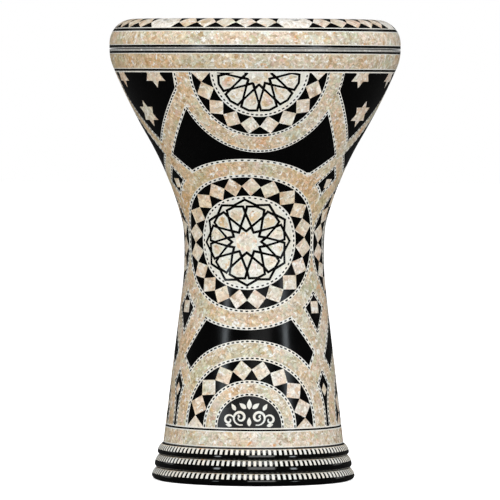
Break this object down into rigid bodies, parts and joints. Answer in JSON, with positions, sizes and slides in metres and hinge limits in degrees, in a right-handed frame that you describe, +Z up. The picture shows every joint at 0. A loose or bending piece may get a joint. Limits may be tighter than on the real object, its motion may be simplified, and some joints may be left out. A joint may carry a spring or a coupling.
{
  "type": "goblet drum",
  "caption": "Goblet-shaped hand drum with pearl mosaic shell, bolted clamp ring and plastic head.",
  "frame": {"origin": "on the drum's axis, at the standing face of the foot", "axes": "+Z up the axis from the foot to the head"},
  "size_m": [0.2782, 0.2782, 0.44],
  "materials": {
    "cast_aluminium": "as cast, satin",
    "black_resin": "polished",
    "mother_of_pearl": "polished chips of shell set in clear resin",
    "ivory_stringing": "polished",
    "head_plastic": "satin translucent film",
    "hoop_aluminium": "drawn",
    "hoop_resin": "cast",
    "zinc_steel": "zinc plated",
    "black_steel": "black oxide"
  },
  "bodies": {
    "shell": {"cast_foot": "cast_aluminium", "cast_waist": "cast_aluminium", "cast_bowl": "cast_aluminium", "cast_collar": "cast_aluminium", "rim_stringing": "ivory_stringing", "rim_pearl_band": "mother_of_pearl", "rim_lower_stringing": "ivory_stringing", "foot_stringing": "ivory_stringing", "foot_pearl_band": "mother_of_pearl", "pearl_straps": "mother_of_pearl", "medallion_pearl_bands": "mother_of_pearl", "medallion_stringing": "ivory_stringing", "panel_stringing": "ivory_stringing", "upper_rosettes": "ivory_stringing", "waist_rosettes": "ivory_stringing", "lunette_panels": "black_resin", "upper_checker_grounds": "black_resin", "waist_checker_grounds": "black_resin", "foot_checker_grounds": "black_resin", "checker_squares": "ivory_stringing", "star_panels": "black_resin", "upper_crossing_panels": "black_resin", "upper_kite_panels": "black_resin", "lower_kite_panels": "black_resin", "lower_crossing_panels": "black_resin", "spear_panels": "black_resin", "star_inlays": "ivory_stringing", "kite_inlays": "mother_of_pearl", "spear_inlays": "mother_of_pearl", "foot_bead_upper": "black_resin", "foot_bead_middle": "black_resin", "foot_bead_base": "black_resin"},
    "tuning_ring": {"clamp_ring": "cast_aluminium", "ring_stringing": "ivory_stringing", "ring_pearl_band": "mother_of_pearl", "bolt_patches": "mother_of_pearl", "ring_diamonds": "mother_of_pearl", "ring_cap_ground": "black_resin", "bolt_washers": "zinc_steel"},
    "drumhead": {"head_film": "head_plastic", "head_collar": "head_plastic", "head_hoop": "hoop_aluminium", "head_resin": "hoop_resin"},
    "bolt_1": {"tuning_bolt_1": "black_steel"},
    "bolt_2": {"tuning_bolt_2": "black_steel"},
    "bolt_3": {"tuning_bolt_3": "black_steel"},
    "bolt_4": {"tuning_bolt_4": "black_steel"},
    "bolt_5": {"tuning_bolt_5": "black_steel"},
    "bolt_6": {"tuning_bolt_6": "black_steel"}
  },
  "joints": [
    {"name": "ring_lift", "type": "slide", "parent": "shell", "child": "tuning_ring", "axis": [0, 0, 1], "range_m": [0, 0.004]},
    {"name": "head_lift", "type": "slide", "parent": "shell", "child": "drumhead", "axis": [0, 0, 1], "range_m": [0, 0.004]},
    {"name": "bolt_1_turn", "type": "hinge", "parent": "tuning_ring", "child": "bolt_1", "pos_m": [0.03624, -0.11492, 0.43], "axis": [0, 0, 1], "range_deg": [0, 1440.5]},
    {"name": "bolt_2_turn", "type": "hinge", "parent": "tuning_ring", "child": "bolt_2", "pos_m": [0.11764, -0.02608, 0.43], "axis": [0, 0, 1], "range_deg": [0, 1440.5]},
    {"name": "bolt_3_turn", "type": "hinge", "parent": "tuning_ring", "child": "bolt_3", "pos_m": [0.08141, 0.08884, 0.43], "axis": [0, 0, 1], "range_deg": [0, 1440.5]},
    {"name": "bolt_4_turn", "type": "hinge", "parent": "tuning_ring", "child": "bolt_4", "pos_m": [-0.03624, 0.11492, 0.43], "axis": [0, 0, 1], "range_deg": [0, 1440.5]},
    {"name": "bolt_5_turn", "type": "hinge", "parent": "tuning_ring", "child": "bolt_5", "pos_m": [-0.11764, 0.02608, 0.43], "axis": [0, 0, 1], "range_deg": [0, 1440.5]},
    {"name": "bolt_6_turn", "type": "hinge", "parent": "tuning_ring", "child": "bolt_6", "pos_m": [-0.08141, -0.08884, 0.43], "axis": [0, 0, 1], "range_deg": [0, 1440.5]}
  ],
  "couplings": [
    {"joint": "head_lift", "follows": "ring_lift", "ratio": 1},
    {"joint": "bolt_1_turn", "follows": "ring_lift", "rad_per_m": 6283.2},
    {"joint": "bolt_2_turn", "follows": "ring_lift", "rad_per_m": 6283.2},
    {"joint": "bolt_3_turn", "follows": "ring_lift", "rad_per_m": 6283.2},
    {"joint": "bolt_4_turn", "follows": "ring_lift", "rad_per_m": 6283.2},
    {"joint": "bolt_5_turn", "follows": "ring_lift", "rad_per_m": 6283.2},
    {"joint": "bolt_6_turn", "follows": "ring_lift", "rad_per_m": 6283.2}
  ]
}
